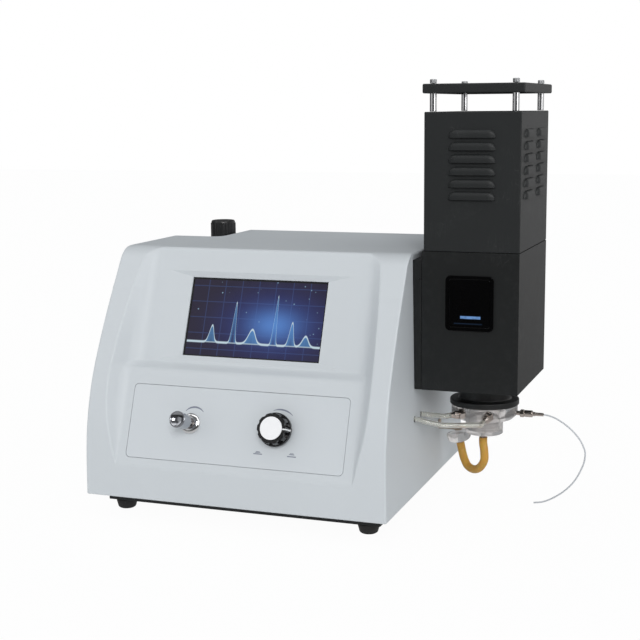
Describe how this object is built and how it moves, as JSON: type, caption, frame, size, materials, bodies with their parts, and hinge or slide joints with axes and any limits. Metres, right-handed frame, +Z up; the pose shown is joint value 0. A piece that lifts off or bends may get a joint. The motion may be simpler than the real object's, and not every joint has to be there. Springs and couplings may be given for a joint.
{
  "type": "flame photometer",
  "caption": "Bench flame photometer: moulded casing with screen and valves, burner tower with clear mixing chamber at its side, and a filter regulator in a rear corner.",
  "frame": {"origin": "on the bench, under the middle of the object without its free capillary", "axes": "+Z up; -Y is the front with the screen and valves; +X is the side with the burner tower"},
  "size_m": [0.5019, 0.3394, 0.4552],
  "materials": {
    "casing_plastic": "light bluish grey, fine texture",
    "black_powder_coat": "near black, satin",
    "black_gloss": "black, glossy",
    "black_plastic": "black, moulded",
    "rubber": "black, matte",
    "chrome": "polished",
    "nickel": "nickel plated, bright",
    "aluminium": "brushed",
    "steel": "plain",
    "clear_plastic": "clear, polished",
    "clear_tube": "clear, soft",
    "amber_rubber": "amber, satin",
    "white_tube": "white, smooth",
    "screen": "lit screen under glass",
    "circuit_board": "green",
    "ceramic": "off white"
  },
  "bodies": {
    "instrument": {"casing_cover": "casing_plastic", "control_panel": "casing_plastic", "screen_glass": "screen", "display_module": "black_plastic", "main_board": "circuit_board", "power_supply": "steel", "base_plate": "black_powder_coat", "rear_panel": "black_powder_coat", "foot_front_left": "rubber", "foot_front_right": "rubber", "foot_back_left": "rubber", "foot_back_right": "rubber", "fine_valve_body": "nickel", "fine_valve_nut": "chrome", "gas_valve_body": "nickel", "power_inlet": "black_plastic", "switch_frame": "black_plastic", "gas_inlet": "nickel", "fan_frame": "black_plastic", "regulator_body": "black_plastic", "filter_bowl": "clear_plastic", "mounting_flange": "black_powder_coat", "burner_housing": "black_powder_coat", "window_bezel": "black_gloss", "viewing_window": "black_gloss", "chimney_cover": "black_powder_coat", "top_plate": "black_powder_coat", "post_front_left": "chrome", "post_front_right": "chrome", "post_back_left": "chrome", "post_back_right": "chrome", "screw_front_left": "chrome", "screw_front_right": "chrome", "screw_back_left": "chrome", "screw_back_right": "chrome", "detector_housing": "black_plastic", "burner_ring": "black_powder_coat", "burner_head": "steel", "flame_chimney": "steel", "igniter": "ceramic", "mixing_chamber": "clear_plastic", "chamber_base": "clear_plastic", "gas_fitting": "nickel", "air_fitting": "nickel", "gas_tube": "clear_tube", "air_tube": "clear_tube", "nebuliser_body": "nickel", "capillary": "white_tube", "drain_trap": "clear_plastic", "drain_tube": "amber_rubber", "trap_bracket": "nickel"},
    "fine_valve_spindle": {"fine_valve_knob": "chrome"},
    "gas_stem": {"gas_valve_stem": "steel"},
    "gas_knob": {"gas_knob": "black_plastic", "gas_knob_cap": "aluminium"},
    "regulator_spindle": {"regulator_spindle": "steel"},
    "regulator_knob": {"regulator_knob": "black_plastic"},
    "nebuliser_nut": {"nebuliser_nut": "nickel"},
    "power_rocker": {"switch_rocker": "black_plastic"},
    "fan_rotor": {"fan_rotor": "black_plastic"}
  },
  "joints": [
    {"name": "fine_valve_turn", "type": "hinge", "parent": "instrument", "child": "fine_valve_spindle", "pos_m": [-0.1117, -0.13526, 0.10374], "axis": [0, -0.9361, 0.3518], "range_deg": [-720, 720]},
    {"name": "gas_knob_push", "type": "slide", "parent": "instrument", "child": "gas_stem", "axis": [0, 0.9361, -0.3518], "range_m": [0, 0.004], "stiffness_N_per_m": 600, "springref_m": -0.003},
    {"name": "gas_knob_turn", "type": "hinge", "parent": "gas_stem", "child": "gas_knob", "pos_m": [-0.0142, -0.13526, 0.10374], "axis": [0, -0.9361, 0.3518], "range_deg": [0, 270]},
    {"name": "regulator_turn", "type": "hinge", "parent": "instrument", "child": "regulator_spindle", "pos_m": [-0.1877, 0.12736, 0.266], "axis": [0, 0, 1], "range_deg": [-1080, 1080]},
    {"name": "regulator_knob_lift", "type": "slide", "parent": "regulator_spindle", "child": "regulator_knob", "axis": [0, 0, 1], "range_m": [0, 0.004]},
    {"name": "nebuliser_nut_turn", "type": "hinge", "parent": "instrument", "child": "nebuliser_nut", "pos_m": [0.209, 0.02536, 0.1015], "axis": [1, 0, 0], "range_deg": [-360, 360]},
    {"name": "power_switch_rock", "type": "hinge", "parent": "instrument", "child": "power_rocker", "pos_m": [0.0093, 0.15216, 0.07], "axis": [1, 0, 0], "range_deg": [-20, 0]},
    {"name": "fan_spin", "type": "hinge", "parent": "instrument", "child": "fan_rotor", "pos_m": [-0.0307, 0.13736, 0.19], "axis": [0, 1, 0], "continuous": true}
  ]
}
